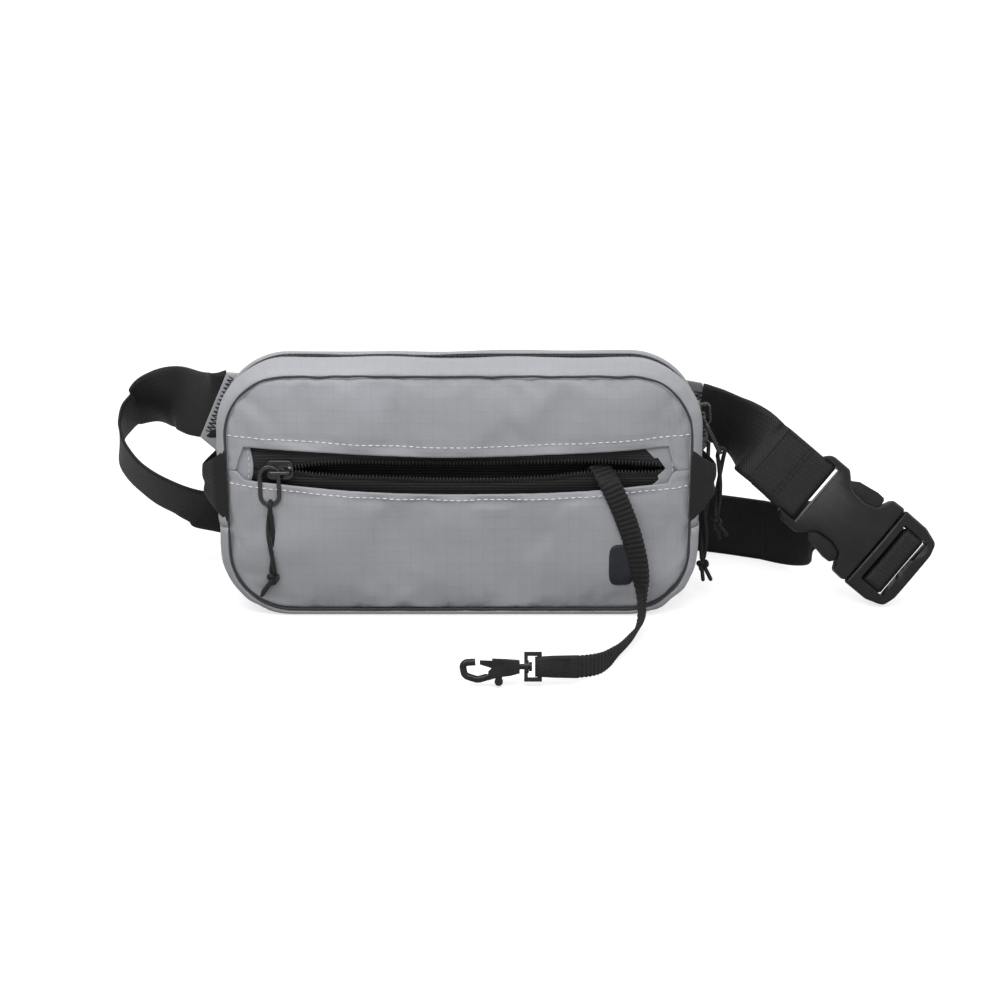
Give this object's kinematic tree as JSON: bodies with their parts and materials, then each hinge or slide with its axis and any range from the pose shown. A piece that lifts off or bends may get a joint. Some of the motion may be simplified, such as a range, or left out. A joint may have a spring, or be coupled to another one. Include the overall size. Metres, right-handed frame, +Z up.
{
  "type": "belt bag",
  "caption": "Small ripstop belt bag with a crown zip, an open front zip pocket, side loops, a webbing belt with a side release buckle and a leash with a snap hook.",
  "frame": {"origin": "centre of the bag's base, on the surface it stands on", "axes": "+X along the belt towards the buckle, front faces -Y, +Z up"},
  "size_m": [0.3792, 0.1757, 0.113],
  "materials": {
    "ripstop": "grey ripstop nylon, faint square grid, soft sheen",
    "back_mesh": "padded air mesh",
    "foam": "closed cell foam",
    "lining": "black woven lining",
    "zip_tape": "black woven zip tape",
    "zip_coil": "black nylon coil",
    "rubber": "matt moulded rubber",
    "belt_webbing": "black ribbed webbing",
    "leash_webbing": "black ribbed narrow webbing",
    "buckle_plastic": "black moulded acetal, slight gloss",
    "slider_metal": "glossy black enamel",
    "ring_metal": "glossy black enamel",
    "pull_cord": "black braided cord",
    "hook_metal": "satin black cast metal"
  },
  "bodies": {
    "bag": {"front_upper_panel": "ripstop", "front_lower_panel": "ripstop", "front_gusset": "ripstop", "rear_gusset": "ripstop", "base_gusset": "ripstop", "main_zip_tape_front": "zip_tape", "main_zip_tape_rear": "zip_tape", "main_zip_coil": "zip_coil", "main_zip_stops": "zip_coil", "back_panel": "back_mesh", "back_foam": "foam", "back_lining": "lining", "pocket_zip_tape_upper": "zip_tape", "pocket_zip_tape_lower": "zip_tape", "pocket_zip_coil_upper": "zip_coil", "pocket_zip_coil_lower": "zip_coil", "pocket_zip_stops": "zip_coil", "pocket_tab_left": "ripstop", "pocket_tab_right": "ripstop", "pocket_liner": "lining", "rubber_patch": "rubber", "side_loop_left": "belt_webbing", "side_loop_right": "belt_webbing", "wing_left": "ripstop", "wing_right": "ripstop", "belt_long_webbing": "belt_webbing", "belt_flex_webbing": "belt_webbing", "belt_short_webbing": "belt_webbing", "belt_short_fold": "belt_webbing", "buckle_female": "buckle_plastic", "leash_anchor": "leash_webbing", "leash_webbing": "leash_webbing", "leash_sewn_end": "leash_webbing", "swivel_eye": "hook_metal"},
    "pocket_slider": {"pocket_slider": "slider_metal"},
    "pocket_ring": {"pocket_pull_ring": "ring_metal"},
    "pocket_cord": {"pocket_pull_cord": "pull_cord", "pocket_pull_knot": "pull_cord"},
    "main_slider_a": {"main_a_slider": "slider_metal"},
    "main_ring_a": {"main_a_pull_ring": "ring_metal"},
    "main_cord_a": {"main_a_pull_cord": "pull_cord", "main_a_pull_knot": "pull_cord"},
    "main_slider_b": {"main_b_slider": "slider_metal"},
    "main_ring_b": {"main_b_pull_ring": "ring_metal"},
    "main_cord_b": {"main_b_pull_cord": "pull_cord", "main_b_pull_knot": "pull_cord"},
    "buckle_plug": {"buckle_male": "buckle_plastic", "belt_male_wrap": "belt_webbing"},
    "prong_upper": {"prong_upper": "buckle_plastic"},
    "prong_lower": {"prong_lower": "buckle_plastic"},
    "snap_hook": {"hook_body": "hook_metal", "hook_pin": "hook_metal"},
    "hook_gate": {"hook_gate": "hook_metal"}
  },
  "joints": [
    {"name": "pocket_zip_slide", "type": "slide", "parent": "bag", "child": "pocket_slider", "axis": [1, 0, 0], "range_m": [0, 0.126]},
    {"name": "pocket_ring_swing", "type": "hinge", "parent": "pocket_slider", "child": "pocket_ring", "pos_m": [-0.0819, -0.0278, 0.068], "axis": [0, 1, 0], "range_deg": [-28, 45]},
    {"name": "pocket_cord_swing", "type": "hinge", "parent": "pocket_ring", "child": "pocket_cord", "pos_m": [-0.0819, -0.0278, 0.0531], "axis": [0, 1, 0], "range_deg": [-45, 28]},
    {"name": "main_zip_a_arc", "type": "hinge", "parent": "bag", "child": "main_slider_a", "pos_m": [0.075, 0, 0.083], "axis": [0, -1, 0], "range_deg": [0, 36]},
    {"name": "main_ring_a_swing", "type": "hinge", "parent": "main_slider_a", "child": "main_ring_a", "pos_m": [0.10901, 0, 0.08156], "axis": [0.891, 0, 0.454], "range_deg": [-17, 17]},
    {"name": "main_cord_a_swing", "type": "hinge", "parent": "main_ring_a", "child": "main_cord_a", "pos_m": [0.11577, 0, 0.06828], "axis": [0, -1, 0], "range_deg": [-36, 0]},
    {"name": "main_zip_b_slide", "type": "slide", "parent": "bag", "child": "main_slider_b", "axis": [0, 0, -1], "range_m": [0, 0.01]},
    {"name": "main_ring_b_swing", "type": "hinge", "parent": "main_slider_b", "child": "main_ring_b", "pos_m": [0.10875, 0, 0.0646], "axis": [0.9986, 0, 0.0523], "range_deg": [-16, 40]},
    {"name": "main_cord_b_swing", "type": "hinge", "parent": "main_ring_b", "child": "main_cord_b", "pos_m": [0.10953, 0, 0.04972], "axis": [0.9986, 0, 0.0523], "range_deg": [-40, 16]},
    {"name": "buckle_release", "type": "slide", "parent": "bag", "child": "buckle_plug", "axis": [0.7604, -0.2114, -0.6141], "range_m": [0, 0.04], "deforming": ["prong_upper", "prong_lower", "belt_flex_webbing"]},
    {"name": "prong_upper_press", "type": "hinge", "parent": "buckle_plug", "child": "prong_upper", "pos_m": [0.19447, -0.00367, 0.03364], "axis": [0, -0.9455, 0.3256], "range_deg": [0, 9], "stiffness_Nm_per_rad": 0.5},
    {"name": "prong_lower_press", "type": "hinge", "parent": "buckle_plug", "child": "prong_lower", "pos_m": [0.17966, -0.00932, 0.01724], "axis": [0, -0.9455, 0.3256], "range_deg": [-9, 0], "stiffness_Nm_per_rad": 0.5},
    {"name": "hook_swivel", "type": "hinge", "parent": "bag", "child": "snap_hook", "pos_m": [0.026, -0.0985, 0.008], "axis": [1, 0, 0], "continuous": true},
    {"name": "hook_gate_press", "type": "hinge", "parent": "snap_hook", "child": "hook_gate", "pos_m": [0.018, -0.09831, 0.00857], "axis": [0, -0.9455, 0.3256], "range_deg": [0, 14], "stiffness_Nm_per_rad": 0.01}
  ],
  "couplings": [
    {"joint": "pocket_cord_swing", "follows": "pocket_ring_swing", "ratio": -1},
    {"joint": "main_cord_a_swing", "follows": "main_zip_a_arc", "ratio": -1},
    {"joint": "main_cord_b_swing", "follows": "main_ring_b_swing", "ratio": -1},
    {"joint": "prong_lower_press", "follows": "prong_upper_press", "ratio": -1}
  ]
}
